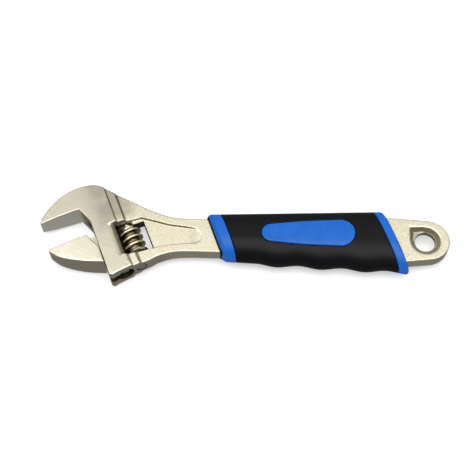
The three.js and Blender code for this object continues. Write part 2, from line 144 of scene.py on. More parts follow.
class Grid:
    """A box of evenly spaced samples in millimetres, along x, y, z or along u, w, z."""

    def __init__(self, low, high, step, on_slide=False):
        self.low, self.step, self.on_slide = np.array(low, np.float32), step, on_slide
        counts = [int(math.ceil((b - a) / step)) + 1 for a, b in zip(low, high)]
        axes = [a + step * np.arange(n, dtype=np.float32) for a, n in zip(self.low, counts)]
        first, second = axes[0][:, None, None], axes[1][None, :, None]
        self.z = axes[2][None, None, :]
        turn = np.array([ACROSS, ALONG], np.float32)
        if on_slide:
            self.u, self.w = first, second
            self.x, self.y = (first * turn[0, i] + second * turn[1, i] for i in (0, 1))
        else:
            self.x, self.y = first, second
            self.u, self.w = (first * turn[i, 0] + second * turn[i, 1] for i in (0, 1))

    def place(self, points):
        """Sample indices to metres in the frame."""
        points = points * self.step + self.low
        if self.on_slide:
            points[:, :2] = points[:, :1] * ACROSS + points[:, 1:2] * ALONG
        return (points + SHIFT) / 1000

    def turn(self, vectors):
        """Directions in the grid's own axes to directions in the frame."""
        if self.on_slide:
            vectors[:, :2] = vectors[:, :1] * ACROSS + vectors[:, 1:2] * ALONG
        return vectors


def both(a, b, radius=0.0):
    """Where both solids are, with the outer edge between them rounded."""
    if np.isscalar(radius) and radius <= 0:
        return np.maximum(a, b)
    outside = np.hypot(np.maximum(a + radius, 0), np.maximum(b + radius, 0))
    return np.minimum(np.maximum(a, b), -radius) + outside


def either(a, b, radius=0.0):
    """Where one or the other solid is, with the inner corner between them filleted."""
    return -both(-a, -b, radius)


def without(a, b, radius=0.0):
    """The first solid less the second, with the rim of the cut rounded."""
    return both(a, -b, radius)


def spline(points, steps=10):
    """A smooth line through the points, ends included."""
    before = 2 * np.array(points[0]) - points[1]
    after = 2 * np.array(points[-1]) - points[-2]
    p = np.array([before, *points, after])
    line = []
    for i in range(1, len(p) - 2):
        for t in np.linspace(0, 1, steps, endpoint=False):
            a, b, c, d = p[i - 1:i + 3]
            line.append(0.5 * (2 * b + (c - a) * t + (2 * a - 5 * b + 4 * c - d) * t ** 2
                               + (3 * b - a - 3 * c + d) * t ** 3))
    return [tuple(q) for q in line] + [tuple(points[-1])]


def arc(centre, radius, start, end, steps):
    return [(centre[0] + radius * math.cos(t), centre[1] + radius * math.sin(t))
            for t in np.linspace(start, end, steps)]


def outline(points, x, y):
    """Signed distance to a closed outline, negative inside."""
    x, y = np.broadcast_arrays(x, y)
    nearest = np.full(x.shape, 1e9, np.float32)
    inside = np.zeros(x.shape, bool)
    ring = np.array(points, np.float32)
    for (ax, ay), (bx, by) in zip(ring, np.roll(ring, -1, axis=0)):
        ex, ey = bx - ax, by - ay
        length = ex * ex + ey * ey
        if length < 1e-10:
            continue
        px, py = x - ax, y - ay
        t = np.clip((px * ex + py * ey) / length, 0, 1)
        nearest = np.minimum(nearest, (px - t * ex) ** 2 + (py - t * ey) ** 2)
        crosses = (ay > y) != (by > y)
        if ey:
            inside ^= crosses & (x < ax + (y - ay) * ex / ey)
    return np.where(inside, -1, 1) * np.sqrt(nearest)


def block(u, w, u_range, w_range):
    """Signed distance to a box in the plane of the head, endless in z."""
    du = np.abs(u - sum(u_range) / 2) - (u_range[1] - u_range[0]) / 2
    dw = np.abs(w - sum(w_range) / 2) - (w_range[1] - w_range[0]) / 2
    return np.minimum(np.maximum(du, dw), 0) + np.hypot(np.maximum(du, 0), np.maximum(dw, 0))


def ease(value, start, end):
    """Smooth change from 0 to 1 as the value goes from start to end."""
    t = np.clip((value - start) / (end - start), 0, 1)
    return t * t * (3 - 2 * t)


def sample(field, points):
    """Field values at fractional sample indices."""
    top = np.array(field.shape) - 2
    base = np.clip(np.floor(points).astype(int), 0, top)
    part = points - base
    total = np.zeros(len(points))
    for corner in np.ndindex(2, 2, 2):
        weight = np.prod(np.where(corner, part, 1 - part), axis=1)
        i, j, k = (base + corner).T
        total += weight * field[i, j, k]
    return total


def slope(field, points):
    """Field gradient at fractional sample indices, per sample."""
    steps = np.eye(3) * 0.5
    return np.stack([sample(field, points + d) - sample(field, points - d) for d in steps], axis=1)


def settle(field, points, step, passes=2):
    """Moves surface points along the slope until they lie on the field's zero surface."""
    for _ in range(passes):
        rise = slope(field, points)
        steep = np.maximum((rise ** 2).sum(axis=1), 0.1 * step ** 2)
        move = np.clip(sample(field, points) / steep, -0.5 / step, 0.5 / step)
        points = points - np.clip(move[:, None] * rise, -0.4, 0.4)
    return points


def place_mesh(name, mesh):
    piece = bpy.data.objects.new(name, mesh)
    bpy.context.scene.collection.objects.link(piece)
    return piece


def mesh_from_field(name, grid, field):
    """Closes the zero surface of a field into a smooth mesh object, in metres in the frame."""
    reach = 3.0 * grid.step
    field = np.ascontiguousarray(np.clip(field, -reach, reach), np.float32)
    volume = vdb.FloatGrid(background=reach)
    volume.copyFromArray(field)
    points, triangles, quads = volume.convertToPolygons(isovalue=0.0, adaptivity=ADAPTIVITY)
    points = settle(field, points, grid.step)
    rise = slope(field, points)
    length = np.maximum(np.linalg.norm(rise, axis=1, keepdims=True), 1e-6)
    mesh = bpy.data.meshes.new(name)
    mesh.from_pydata(grid.place(points).tolist(), [], quads.tolist() + triangles.tolist())
    mesh.shade_smooth()
    mesh.normals_split_custom_set_from_vertices(grid.turn(rise / length).tolist())
    return place_mesh(name, mesh)


# ---- forged body ---------------------------------------------------------------------------

def forging_outline():
    """Handle edge, tail, back edge, crown and jaw throat, as one closed line."""
    lower = spline([slide(75, -1.3), slide(68, -2.2), slide(62, -2.8), slide(55, -3.3),
                    (-46.5, -14.7), (-38, -12), (-28, -11.3), (-18, -11.3), (-6, -11.3)])
    tang = [(4, -10.2), (96, -10.2), (101, -14.7)]
    tail = [*arc(TAIL_CENTRE, TAIL_RADIUS, -1.5, 1.45, 40), (89.5, 15.3), (84.5, 10.2),
            (-3, 10.2)]
    back = spline([(-8, 11.3), (-20, 11.2), (-31, 11.3), (-41.6, 12.4), (-54.1, 16.7),
                   (-63.5, 21.3), (-76.5, 27.3), slide(65.2, -60)])
    crown = spline([slide(65.8, -60.3), slide(69.5, -63), slide(74, -64.5),
                    slide(79.5, -64.9), slide(86, -64.2), slide(93, -62.2),
                    slide(100.3, -58.4), slide(105.5, -54.6), slide(109.0, -50.7)])
    throat = [slide(108.6, FIXED_FACE_W), slide(84.2, FIXED_FACE_W), slide(80, -39.9),
              slide(80, -1.8), slide(78.6, -0.5)]
    return [*lower, *tang, *tail, *back, *crown, *throat]


def panel_outline():
    """Rim of the sunk panel, from above the window to its round end on the neck."""
    rim = spline([(-50, 8.8), (-41, 6.6), (-31, 5.4), (-24.5, 3.6), (-21.6, -0.6),
                  (-24, -4.7), (-33, -5.8), (-42, -7), (-50.3, -9.3)])
    return [slide(67, -33.7), slide(61, -33.7), slide(56.4, -32.8), slide(50.3, -32.6), *rim,
            slide(60, -11.4), slide(67, -11.8)]


def half_thickness(u, w=-40.0):
    """Half the forging's thickness: tips, cheeks, strip, shank, neck and tail in turn."""
    u = u - 0.9 * ease(w, -32, -14) * ease(-w, 0, 9)
    tips = HEAD_HALF - TAPER_RATE * np.maximum(0, u - TAPER_START_U) ** 2
    strip = STRIP_HALF + (tips - STRIP_HALF) * ease(u, HEAD_STEP_U - 0.6, HEAD_STEP_U + 0.2)
    neck = np.clip((STRIP_STEP_U - u) / SHANK_RUN, 0, 1)
    shank = SHANK_HALF + (NECK_HALF - SHANK_HALF) * neck
    shank += (TAIL_HALF - NECK_HALF) * np.clip((NECK_U - u) / NECK_RUN, 0, 1)
    return shank + (strip - shank) * ease(u, STRIP_STEP_U - 0.9, STRIP_STEP_U + 0.5)


def blank(grid):
    """The forging before its cuts: crisp rims by the jaw, rounder ones elsewhere."""
    u, w = grid.u, grid.w
    side = outline(forging_outline(), grid.x, grid.y).astype(np.float32)
    near_jaw = ease(u, 79, 82) * ease(-w, 30, 33) * ease(w, -56, -52)
    rim = 0.8 + (0.35 - 0.8) * np.maximum(near_jaw, ease(u, 76.5, 78.5))
    return both(side, np.abs(grid.z) - half_thickness(u, w), rim)


def sunk_panel(grid, height):
    """The panel's hollow, with drafted walls and a floor that rises at the neck end."""
    sunk = outline(panel_outline(), grid.x, grid.y).astype(np.float32)
    draft = 0.12 * (height - PANEL_HALF)
    floor = PANEL_HALF + 1.2 * ease(grid.x, -31, -22)
    return both(sunk - draft, floor - height, 0.35)


def window_relief(grid, height):
    """The step round the window, whose left side slopes up to the cheek."""
    slope_side = (height - RELIEF_HALF) * 0.87 - (grid.u - 67) * 0.43
    return both(both(-slope_side, block(grid.u, grid.w, *RELIEF), 1.0), -(grid.u - 59.9))


def worm_window(grid):
    """The window for the worm, joined to the room for the spring above it."""
    room = outline(SPRING_ROOM, grid.u, grid.w).astype(np.float32)
    return np.minimum(block(grid.u, grid.w, *WINDOW), room) + 0 * grid.z


def key_channel(grid, height):
    """The keyhole: a round bore for the key and a slot for the jaw's web."""
    bore = both(np.hypot(grid.u - KEY_U, grid.z) - BORE_RADIUS, BORE_END_W - grid.w)
    slot = block(grid.u, grid.w, (KEY_U, 95), (FIXED_FACE_W, 20))
    return np.minimum(bore, both(height - SLOT_HALF, slot))


def pin_holes(grid):
    radius = np.hypot(grid.u - WORM_U, grid.z)
    plug_hole = both(radius - PIN_HOLE_RADIUS, -20 - grid.w)
    stem_hole = np.maximum(grid.w + 30, STEM_HOLE_END_W - grid.w)
    return np.minimum(plug_hole, both(radius - STEM_HOLE_RADIUS, stem_hole))


def tail_dish(grid, height):
    """The dished seat of the hanging hole, with one square corner towards the grip."""
    x, y = grid.x, grid.y
    ring = np.hypot(x - DISH_X, y) - DISH_RADIUS
    corner = both(both(DISH_CORNER_X - x, y - DISH_RADIUS, 1.4), np.maximum(x - DISH_X, -y))
    flare = DISH_FLARE * (height - TAIL_HALF)
    seat = (either(ring, corner, 0.5) - flare) / 1.38
    return both(seat, DISH_HALF - height, 0.5)


def forging_field(grid):
    """The whole forging, tang included, with its rims rounded as forged or ground."""
    height = np.abs(grid.z)
    hole = np.hypot(grid.x - HOLE_CENTRE[0], grid.y - HOLE_CENTRE[1]) - HOLE_RADIUS
    solid = without(blank(grid), sunk_panel(grid, height), 0.55)
    solid = without(solid, window_relief(grid, height), 0.6)
    solid = without(solid, worm_window(grid), 0.35)
    solid = without(solid, key_channel(grid, height), 0.25)
    solid = without(solid, pin_holes(grid), 0.25)
    solid = without(solid, tail_dish(grid, height), 0.5)
    return without(solid, hole, 0.35)


def build_body():
    grid = Grid((-125.5, -31.5, -9.2), (129.5, 33.0, 9.2), BODY_STEP)
    return mesh_from_field("forged_body", grid, forging_field(grid))


# ---- sliding jaw ---------------------------------------------------------------------------

def jaw_outline():
    nose = spline([slide(109.2, -30.3), slide(105.7, -24.9), slide(100.7, -20.7),
                   slide(95.5, -17.4), slide(90.1, -14.5), slide(84.6, -12.1)])
    return [slide(108.8, JAW_FACE_W), slide(109.2, -31.2), *nose, slide(80.3, -10.4),
            slide(80.3, -22.2), slide(85.2, JAW_FACE_W)]


def rack_grooves(grid):
    """Leaning grooves across the flat of the key, in step with the worm."""
    lean = PITCH / (2 * math.pi * RACK_MEAN_RADIUS)
    phase = (grid.w + lean * grid.z - MESH_W) / PITCH
    off_centre = np.abs(phase - np.round(phase)) * PITCH
    groove = off_centre - (GROOVE_HALF - GROOVE_DRAFT * (grid.u - KEY_FLAT_U))
    return np.maximum(groove, grid.u - RACK_ROOT_U)


def jaw_field(grid):
    u, w, z = grid.u, grid.w, grid.z
    height = np.abs(z)
    side = outline(jaw_outline(), grid.x, grid.y).astype(np.float32)
    rim = 1.1 + (0.4 - 1.1) * ease(-w, 27, 30)
    head = both(side, height - half_thickness(u), rim)
    web = both(height - WEB_HALF, block(u, w, (KEY_U, 84), (JAW_FACE_W, -13)), 0.2)
    radius = np.hypot(u - KEY_U, z)
    key = both(radius - KEY_RADIUS, np.maximum(w - KEY_END_W, JAW_FACE_W - w), 0.5)
    key = both(key, KEY_FLAT_U - u, 0.15)
    return either(either(head, web, 0.3), without(key, rack_grooves(grid), 0.2), 0.1)


def build_jaw():
    grid = Grid((63.5, -34, -9.2), (111, -2.5, 9.2), JAW_STEP, on_slide=True)
    return mesh_from_field("sliding_jaw", grid, jaw_field(grid))


# ---- worm, pin and spring ------------------------------------------------------------------

def worm_field(grid):
    w, radius = grid.w, np.hypot(grid.u - WORM_U, grid.z)
    angle = np.arctan2(-grid.z, grid.u - WORM_U)
    phase = (w - MESH_W) / PITCH - angle / (2 * math.pi)
    off_centre = np.abs(phase - np.round(phase)) * PITCH
    flank = off_centre - RIDGE_HALF - RIDGE_DRAFT * (WORM_CREST - radius)
    ridge = both(radius - WORM_CREST, flank, 0.4)
    ends = np.maximum(WORM_TOP - w, w - WORM_BOTTOM)
    chamfer = np.maximum(0, radius - 6.2) * 0.8
    solid = both(either(radius - WORM_ROOT, ridge, 0.5), ends + chamfer, 0.3)
    hub = both(radius - WORM_ROOT, np.maximum(HUB_TOP - w, w - HUB_BOTTOM), 0.3)
    seat = both(radius - COUNTERBORE, w - (WORM_TOP + COUNTERBORE_DEPTH))
    return without(np.minimum(solid, hub), np.minimum(radius - WORM_BORE, seat), 0.2)


def build_worm():
    grid = Grid((52.2, -31.0, -8), (67.8, -11.4, 8), WORM_STEP, on_slide=True)
    return mesh_from_field("worm_screw", grid, worm_field(grid))


def build_pin():
    grid = Grid((56.5, -38.2, -3.4), (63.5, -2.4, 3.4), WORM_STEP, on_slide=True)
    w, radius = grid.w, np.hypot(grid.u - WORM_U, grid.z)
    stem = both(radius - STEM_RADIUS, np.maximum(STEM_TOP - w, w - STEM_BOTTOM), 0.2)
    plug = both(radius - PLUG_RADIUS, np.maximum(PLUG_TOP - w, w - PLUG_FACE), 0.35)
    return mesh_from_field("pin_and_plug", grid, np.minimum(stem, plug))


def tube(name, path, radius, sides=10):
    """A round wire along a list of points in the frame, closed at both ends."""
    path = np.array(path)
    ahead = np.gradient(path, axis=0)
    ahead /= np.linalg.norm(ahead, axis=1, keepdims=True)
    out = np.cross(ahead, np.array([0.38, -0.92, 0.05]))
    out /= np.linalg.norm(out, axis=1, keepdims=True)
    up = np.cross(ahead, out)
    turns = np.linspace(0, 2 * math.pi, sides, endpoint=False)
    rings = [path + radius * (math.cos(t) * out + math.sin(t) * up) for t in turns]
    points = np.stack(rings, axis=1).reshape(-1, 3)
    faces = []
    for i in range(len(path) - 1):
        for j in range(sides):
            a, b = i * sides + j, i * sides + (j + 1) % sides
            faces.append((a, a + sides, b + sides, b))
    faces.append(tuple(range(sides)))
    faces.append(tuple(len(points) - 1 - j for j in range(sides)))
    mesh = bpy.data.meshes.new(name)
    mesh.from_pydata(points.tolist(), [], faces)
    mesh.shade_smooth()
    return place_mesh(name, mesh)


def build_spring(steps=216):
    """The take-up spring, with closed turns at both ends."""
    path = []
    for i in range(steps + 1):
        part = i / steps
        angle = part * COIL_TURNS * 2 * math.pi
        lift = 0.5 * part + 0.5 * float(ease(np.float64(part), 0.08, 0.92))
        x, y = slide(WORM_U + COIL_RADIUS * math.cos(angle), COIL_TOP + COIL_LENGTH * lift)
        path.append((np.array([x, y, -COIL_RADIUS * math.sin(angle)]) + SHIFT) / 1000)
    return tube("take_up_spring", path, WIRE_RADIUS / 1000)


# ---- grip ----------------------------------------------------------------------------------

def grip_edges(x):
    """Back edge and scalloped finger edge of the grip."""
    waves = 2 * math.pi * np.maximum(0, x - SCALLOP_START) / SCALLOP_PITCH
    swell = SCALLOP_DEPTH * (1 - np.cos(waves))
    return 16.1 + 0.0435 * (x + 5), -(15 + 0.039 * (x - 4) + swell)


def grip_form(grid):
    """The grip's whole outer form: a squarish oval section with a level crown."""
    back, finger = grip_edges(grid.x)
    half = (back - finger) / 2
    p, high = GRIP_POWER, GRIP_HALF + CROWN_DROP
    across = np.maximum(np.abs(grid.y - (back + finger) / 2) / half, 1e-3)
    up = np.maximum(np.abs(grid.z) / high, 1e-3)
    ring = (across ** p + up ** p) ** (1 / p)
    steep = np.hypot((across / ring) ** (p - 1) / half, (up / ring) ** (p - 1) / high)
    return both((ring - 1) / steep, np.abs(grid.z) - GRIP_HALF, 0.05)


def leaning(grid, at, draw=0.0):
    """Distance past a plane that leans back across the handle, drawn in towards the crown."""
    past = grid.x + COLLAR_SLOPE * grid.y - at - draw * np.abs(grid.z)
    return past / math.hypot(1, COLLAR_SLOPE)


def tang_edges(clearance):
    """Outline of the grip's tunnel: the tang's own edge plus a clearance."""
    return [(-35, -11.3 - clearance), (-1, -11.3 - clearance), (4, -10.2 - clearance),
            (96, -10.2 - clearance), (101, -14.7 - clearance), (140, -14.7 - clearance),
            (140, 15.3 + clearance), (89.5, 15.3 + clearance), (84.5, 10.2 + clearance),
            (-3, 10.2 + clearance), (-8, 11.3 + clearance), (-35, 11.3 + clearance)]


def tunnel(grid, clearance):
    side = outline(tang_edges(clearance), grid.x, grid.y).astype(np.float32)
    return both(side, np.abs(grid.z) - half_thickness(grid.u) - clearance, 1.2)


def pad_outline():
    """The long pad: a small and a large round end joined by slightly bowed sides."""
    small = arc(PAD_SMALL, PAD_SMALL_RADIUS, 0.55 * math.pi, 1.45 * math.pi, 16)
    large = arc(PAD_LARGE, PAD_LARGE_RADIUS, -0.48 * math.pi, 0.48 * math.pi, 20)
    lower = spline([small[-2], small[-1], (41, -7.0), large[0], large[1]])
    upper = spline([large[-2], large[-1], (41, 8.95), small[0], small[1]])
    return [*small[1:-2], *lower, *large[2:-2], *upper]


def hard_core(grid, form, seams, pad):
    """Collars, pads and the sleeve that joins them under the soft cover."""
    lips = both(form, -leaning(grid, COLLAR_FRONT, 0.08), 2.8)
    lips = both(lips, leaning(grid, COLLAR_REAR, -0.08), 1.6)
    sleeve = both(tunnel(grid, SLEEVE_WALL), np.maximum(-leaning(grid, -12), leaning(grid, 94)))
    sleeve = np.maximum(sleeve, form + 1.5)
    core = np.minimum(both(lips, seams, 0.3), both(form, pad, 0.3))
    core = np.minimum(core, sleeve)
    core = without(core, np.maximum(tunnel(grid, 0.45), form + 1.0), 0.3)
    mouth = both(tunnel(grid, 0.9), leaning(grid, COLLAR_FRONT + 4))
    return without(core, np.maximum(mouth, form + 1.6), 0.3)


def soft_cover(grid, form, seams, pad):
    """The black skin between the collars, cut away for the pads and the sleeve."""
    soft = both(form, SEAM_GAP - seams, 0.3)
    soft = without(soft, pad - SEAM_GAP, 0.3)
    return without(soft, np.maximum(tunnel(grid, SLEEVE_WALL + SEAM_GAP), form + 1.2))


def build_grip():
    grid = Grid((-24, -22.5, -10.4), (106, 21.5, 10.4), GRIP_STEP)
    form = grip_form(grid)
    seams = np.minimum(leaning(grid, SEAM_FRONT, 0.06), -leaning(grid, SEAM_REAR, -0.08))
    pad = outline(pad_outline(), grid.x, grid.y).astype(np.float32) + 0 * grid.z
    core = hard_core(grid, form, seams, pad)
    soft = soft_cover(grid, form, seams, pad)
    return (mesh_from_field("grip_hard_core", grid, core),
            mesh_from_field("grip_soft_cover", grid, soft))


def build_gap_shade_ring():
    """A thin black ring in the gap between the front collar and the tang: a dark piece that stands
    in for the shade in that gap.
    """
    grid = Grid((-24, -14.5, -7.5), (0, 14.5, 7.5), LINING_STEP)
    ring = without(np.maximum(tunnel(grid, 0.8), grip_form(grid) + 1.6), tunnel(grid, 0.1))
    ends = np.maximum(-leaning(grid, COLLAR_FRONT - 0.5), leaning(grid, COLLAR_FRONT + 3.9))
    return mesh_from_field("collar_gap_shade_ring", grid, both(ring, ends, 0.3))


# ---- materials -----------------------------------------------------------------------------

# Colours of the satin nickel, dark and light, and of the painted shade and other tones laid on it.
SKIN = (0.52, 0.48, 0.365), (0.86, 0.8, 0.61)
CHEEK = (0.68, 0.63, 0.5), (0.77, 0.72, 0.57)
JAW_CHEEK = (0.8, 0.75, 0.61), (0.92, 0.87, 0.7)
# Painted shade on a band of the cheeks and on the shank beside the strip step; BLOTCH is the
# steel's own lighter patches.
CHEEK_BAND, SKIN_SHADE, BLOTCH = (0.47, 0.43, 0.35), (0.36, 0.325, 0.25), (0.8, 0.74, 0.58)
# Painted shade on the relief slope, the step walls, the dish and the panel's walls.
RELIEF_PAINTED_SHADE, STEP_PAINTED_SHADE = (0.2, 0.18, 0.14), (0.2, 0.175, 0.13)
DISH_PAINTED_SHADE, WALL_PAINTED_SHADE = (0.2, 0.175, 0.12), (0.16, 0.135, 0.09)
# Painted shade on the strip and on steep sides, and a lighter tone for the fixed jaw's inner face.
STRIP_SHADE, FACE_BRIGHT, EDGE_SHADE = (0.4, 0.365, 0.28), (1.0, 0.96, 0.84), (0.5, 0.46, 0.36)
# Painted shade inside the holes, and a painted highlight on the key's end, which lies in shade.
HOLLOW_PAINTED_SHADE, KEY_END = (0.05, 0.04, 0.028), (0.86, 0.88, 0.82)

# Painted highlight on the worm's crests and end lands, and painted shade in its roots.
WORM_PAINTED_HIGHLIGHT = (0.85, 0.78, 0.6)
WORM_ROOT_PAINTED_SHADE = (0.3, 0.235, 0.14), (0.2, 0.15, 0.085)
PIN_STEEL = (0.36, 0.37, 0.36), (0.5, 0.52, 0.5)
# The spring's pale colours are painted light: they keep the shaded spring light.
SPRING_PAINTED_LIGHT = (0.75, 0.69, 0.52), (0.88, 0.82, 0.64)
BLUE = (0.003, 0.108, 0.48), (0.006, 0.123, 0.53)
BLACK = (0.002, 0.0018, 0.0028), (0.0035, 0.0032, 0.0045)
PAPER = (0.58, 0.58, 0.58), (0.6, 0.6, 0.6)


class Shader:
    """A material whose nodes are added one call at a time."""

    def __init__(self, name, roughness, metallic=0.0):
        self.material = bpy.data.materials.new(name)
        self.material.use_nodes = True
        self.tree = self.material.node_tree
        self.surface = self.tree.nodes["Principled BSDF"]
        self.surface.inputs["Roughness"].default_value = roughness
        self.surface.inputs["Metallic"].default_value = metallic
        place = self.add("ShaderNodeTexCoord").outputs["Object"]
        self.mm = self.vector("MULTIPLY_ADD", place, (1000, 1000, 1000), tuple(-SHIFT))
        split = self.add("ShaderNodeSeparateXYZ", Vector=self.mm)
        self.x, self.y, self.z = split.outputs
        self.u = self.measure("DOT_PRODUCT", self.mm, (*ACROSS, 0))
        self.w = self.measure("DOT_PRODUCT", self.mm, (*ALONG, 0))
        self.height = self.math("ABSOLUTE", self.z)

    def add(self, kind, **inputs):
        node = self.tree.nodes.new(kind)
        for name, value in inputs.items():
            self.put(node.inputs[name], value)
        return node

    def put(self, socket, value):
        if isinstance(value, bpy.types.NodeSocket):
            self.tree.links.new(value, socket)
        else:
            socket.default_value = value

    def math(self, operation, *values):
        node = self.add("ShaderNodeMath")
        node.operation = operation
        for socket, value in zip(node.inputs, values):
            self.put(socket, value)
        return node.outputs[0]

    def vector(self, operation, *values):
        node = self.add("ShaderNodeVectorMath")
        node.operation = operation
        for socket, value in zip(node.inputs, values):
            self.put(socket, value)
        return node.outputs[0]

    def measure(self, operation, *values):
        """A vector operation whose result is a number."""
        return self.vector(operation, *values).node.outputs["Value"]

    def radius(self, across, centre_across, other, centre_other=0.0):
        """Distance from a centre in the plane of two measures."""
        offset = self.add("ShaderNodeCombineXYZ",
                          X=self.math("SUBTRACT", across, centre_across),
                          Y=self.math("SUBTRACT", other, centre_other))
        return self.measure("LENGTH", offset.outputs[0])

    def ramp(self, value, start, end, low=0.0, high=1.0):
        """Smooth change from low to high as the value goes from start to end."""
        node = self.add("ShaderNodeMapRange", Value=value)
        node.interpolation_type = "SMOOTHSTEP"
        for name, number in zip(("From Min", "From Max", "To Min", "To Max"),
                                (start, end, low, high)):
            node.inputs[name].default_value = number
        return node.outputs["Result"]

    def near(self, value, centre, outer, inner):
        """1 close to a value, 0 farther from it than the outer distance."""
        off = self.math("ABSOLUTE", self.math("SUBTRACT", value, centre))
        return self.ramp(off, outer, inner)

    def product(self, *masks):
        total = masks[0]
        for mask in masks[1:]:
            total = self.math("MULTIPLY", total, mask)
        return total

    def noise(self, scale, detail=3.0, roughness=0.55, stretch=(1, 1, 1), turn=0.0):
        """Noise of about 0..1 whose features are 1/scale millimetres wide."""
        aim = self.add("ShaderNodeVectorRotate", Vector=self.mm, Angle=turn)
        aim.rotation_type = "Z_AXIS"
        stretched = self.vector("MULTIPLY", aim.outputs[0], stretch)
        node = self.add("ShaderNodeTexNoise", Vector=stretched, Scale=scale, Detail=detail,
                        Roughness=roughness)
        return node.outputs["Fac"]

    def mix(self, amount, low, high):
        node = self.add("ShaderNodeMix")
        node.data_type = "RGBA"
        self.put(node.inputs[0], amount)
        self.put(node.inputs[6], low if isinstance(low, bpy.types.NodeSocket) else (*low, 1))
        self.put(node.inputs[7], high if isinstance(high, bpy.types.NodeSocket) else (*high, 1))
        return node.outputs[2]

    def bump(self, height, distance, strength=1.0, under=None):
        node = self.add("ShaderNodeBump", Height=height)
        node.inputs["Strength"].default_value = strength
        node.inputs["Distance"].default_value = distance / 1000  # millimetres to metres
        if under:
            self.put(node.inputs["Normal"], under)
        return node.outputs["Normal"]

    def finish(self, **sockets):
        for name, value in sockets.items():
            self.put(self.surface.inputs[name.replace("_", " ")], value)
        return self.material


def cheek_depth(m):
    """How far a point lies below the ground cheeks, which thin out towards the tips."""
    past = m.math("MAXIMUM", m.math("SUBTRACT", m.u, TAPER_START_U), 0.0)
    drop = m.math("MULTIPLY", m.math("MULTIPLY", past, past), TAPER_RATE)
    return m.math("SUBTRACT", m.math("SUBTRACT", HEAD_HALF, drop), m.height)


def clean_steel(m, ground, grain, lines, cheeks):
    """Blasted skin and ground cheeks with lighter random patches, plus painted shade on a band of
    the cheeks and on the shank beside the strip step.
    """
    # Painted shade on a band of the cheeks by the head step and on the shank's back edge by the
    # strip step.
    band = m.product(m.ramp(m.u, 82.0, 70.0), m.ramp(m.w, -26.0, -40.0), 0.9)
    back = m.product(m.ramp(m.u, 48.0, 58.0), m.ramp(m.w, -34.0, -41.0), 0.9)
    skin = m.mix(back, m.mix(m.ramp(grain, 0.32, 0.68), *SKIN), SKIN_SHADE)
    cheek = m.mix(band, m.mix(m.ramp(lines, 0.3, 0.7), *cheeks), CHEEK_BAND)
    blotch = m.ramp(m.noise(0.12, 3.0, 0.6), 0.35, 0.75, 0.0, 0.35)
    return m.mix(blotch, m.mix(ground, skin, cheek), BLOTCH)


def steel_marks(m, depth):
    """Masks and colours of painted shade and of a lighter fixed jaw face, in the order they are
    laid on.
    """
    normal = m.add("ShaderNodeNewGeometry").outputs["Normal"]
    facing = m.add("ShaderNodeSeparateXYZ", Vector=normal).outputs
    # Steep faces, picked by their normal, take the painted shade of the sides.
    steep = m.ramp(m.math("ABSOLUTE", facing["Z"]), 0.75, 0.35)
    # Painted shade on the relief slope beside the window.
    relief = m.product(m.ramp(m.u, 71.2, 68.5), m.ramp(m.u, 66.0, 66.6),
                       m.ramp(depth, 0.25, 0.9), m.ramp(m.w, -34.5, -33.0),
                       m.ramp(m.w, -10.5, -12.0), 0.9)
    clear = m.math("MAXIMUM", m.ramp(m.w, -34.2, -35.2), m.ramp(m.w, -12.0, -11.2))
    # Painted shade along the walls of the head step and the strip step.
    head_step = m.product(m.near(m.u, HEAD_STEP_U - 0.2, 0.55, 0.275), clear, 0.8)
    strip_step = m.product(m.near(m.u, STRIP_STEP_U - 0.2, 0.9, 0.45), clear, 0.8)
    # Painted shade on the dish round the hanging hole, strongest on walls that face -y.
    dish = m.product(m.ramp(m.radius(m.x, HOLE_CENTRE[0], m.y), 12.0, 11.8),
                     m.ramp(m.height, 4.0, 3.7), m.ramp(facing["Y"], 0.4, -0.5, 0.2, 0.85))
    # Painted shade on the panel's steep walls that face -y.
    wall = m.product(m.ramp(m.y, 1.0, 3.0), m.ramp(facing["Y"], -0.3, -0.5),
                     m.ramp(m.height, 5.4, 5.1), m.ramp(m.x, -60.0, -59.0),
                     m.ramp(m.x, -18.0, -26.0), 0.9)
    # Painted shade on the strip between the two steps.
    strip = m.product(m.ramp(m.u, STRIP_STEP_U, 60.8), m.ramp(m.u, 65.6, 65.0),
                      m.ramp(m.w, -33.0, -35.0), 0.3)
    # A lighter tone on the fixed jaw's steep inner face.
    fixed_face = m.product(steep, m.ramp(m.w, -52.0, -51.0), m.ramp(m.w, -48.0, -49.5),
                           m.ramp(m.u, 80.0, 84.0))
    # Painted shade on the steep sides, stronger towards the head and kept off the fixed jaw's
    # face.
    edge = m.product(steep, m.ramp(m.w, -47.0, -44.0), m.ramp(m.x, -34.0, -46.0, 0.2, 0.75))
    return [(relief, RELIEF_PAINTED_SHADE), (head_step, STEP_PAINTED_SHADE), (strip_step, STEP_PAINTED_SHADE),
            (dish, DISH_PAINTED_SHADE), (wall, WALL_PAINTED_SHADE), (strip, STRIP_SHADE),
            (fixed_face, FACE_BRIGHT), (edge, EDGE_SHADE)]


def inside_bore(m):
    # Painted shade inside the key bore, stopped short of the crown.
    below_crown = m.ramp(m.w, -52.0, -51.0)
    return m.product(m.ramp(m.radius(m.u, KEY_U, m.z), 5.15, 4.9), below_crown)


def inside_holes(m):
    """Painted shade on the insides of the forging: key bore, slot, worm window and pin hole."""
    slot = m.product(m.ramp(m.w, -52.0, -51.0), m.ramp(m.height, 2.75, 2.5),
                     m.ramp(m.u, 69.8, 70.2), m.ramp(m.u, 83.0, 80.5))
    pin_hole = m.product(m.ramp(m.radius(m.u, WORM_U, m.z), 3.4, 3.2),
                         m.ramp(m.w, -40.0, -39.0))
    shelf = m.math("MAXIMUM", m.ramp(m.w, -31.4, -31.0), m.ramp(m.u, 62.4, 63.2))
    # Painted shade on the worm window's lower walls, kept off the shelf at its top.
    window = m.product(m.near(m.u, 58.3, 9.0, 8.8), m.near(m.w, -22.4, 11.4, 11.1),
                       m.ramp(m.height, 3.5, 3.2), shelf)
    return m.math("MAXIMUM", m.math("MAXIMUM", inside_bore(m), slot),
                  m.math("MAXIMUM", window, pin_hole))


